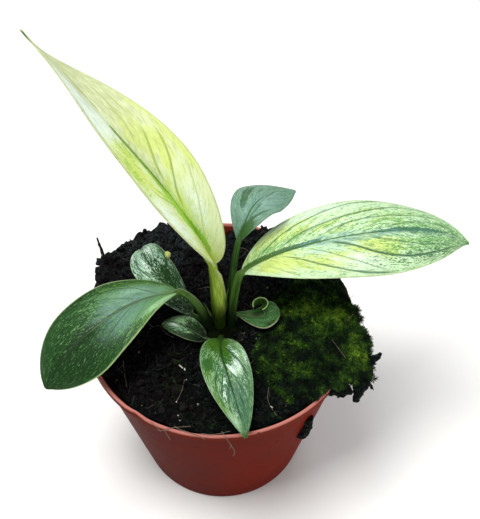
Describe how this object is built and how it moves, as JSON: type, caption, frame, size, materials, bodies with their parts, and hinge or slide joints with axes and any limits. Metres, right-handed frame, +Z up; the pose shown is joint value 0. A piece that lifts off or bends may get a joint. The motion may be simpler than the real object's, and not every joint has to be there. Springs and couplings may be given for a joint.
{
  "type": "potted peace lily",
  "caption": "Young variegated peace lily with arching pointed leaves on thin stems, growing from one crown in mossy peat that bulges over a thin terracotta-coloured nursery pot",
  "frame": {"origin": "centre of the pot's flat underside", "axes": "+Z up along the pot's axis, -Y towards the front with the low hanging leaf, +X to the side of the striped leaf and the moss"},
  "size_m": [0.1816, 0.1222, 0.239],
  "materials": {
    "pot_plastic": "satin",
    "peat": "matte",
    "moss": "matte",
    "crown_green": "satin",
    "leaf_pale": "satin",
    "leaf_striped": "satin",
    "leaf_grey": "satin",
    "leaf_dark": "satin",
    "leaf_streaked": "satin"
  },
  "bodies": {
    "root": {"pot": "pot_plastic", "soil": "peat", "peat_clod": "peat", "moss_cushion": "moss", "crown": "crown_green", "leaf_tall_pale": "leaf_pale", "leaf_right_striped": "leaf_striped", "leaf_back_grey": "leaf_grey", "leaf_left_dark": "leaf_dark", "leaf_notched": "leaf_streaked", "leaf_small_left": "leaf_streaked", "leaf_front": "leaf_streaked", "leaf_curled": "leaf_streaked"}
  },
  "joints": []
}
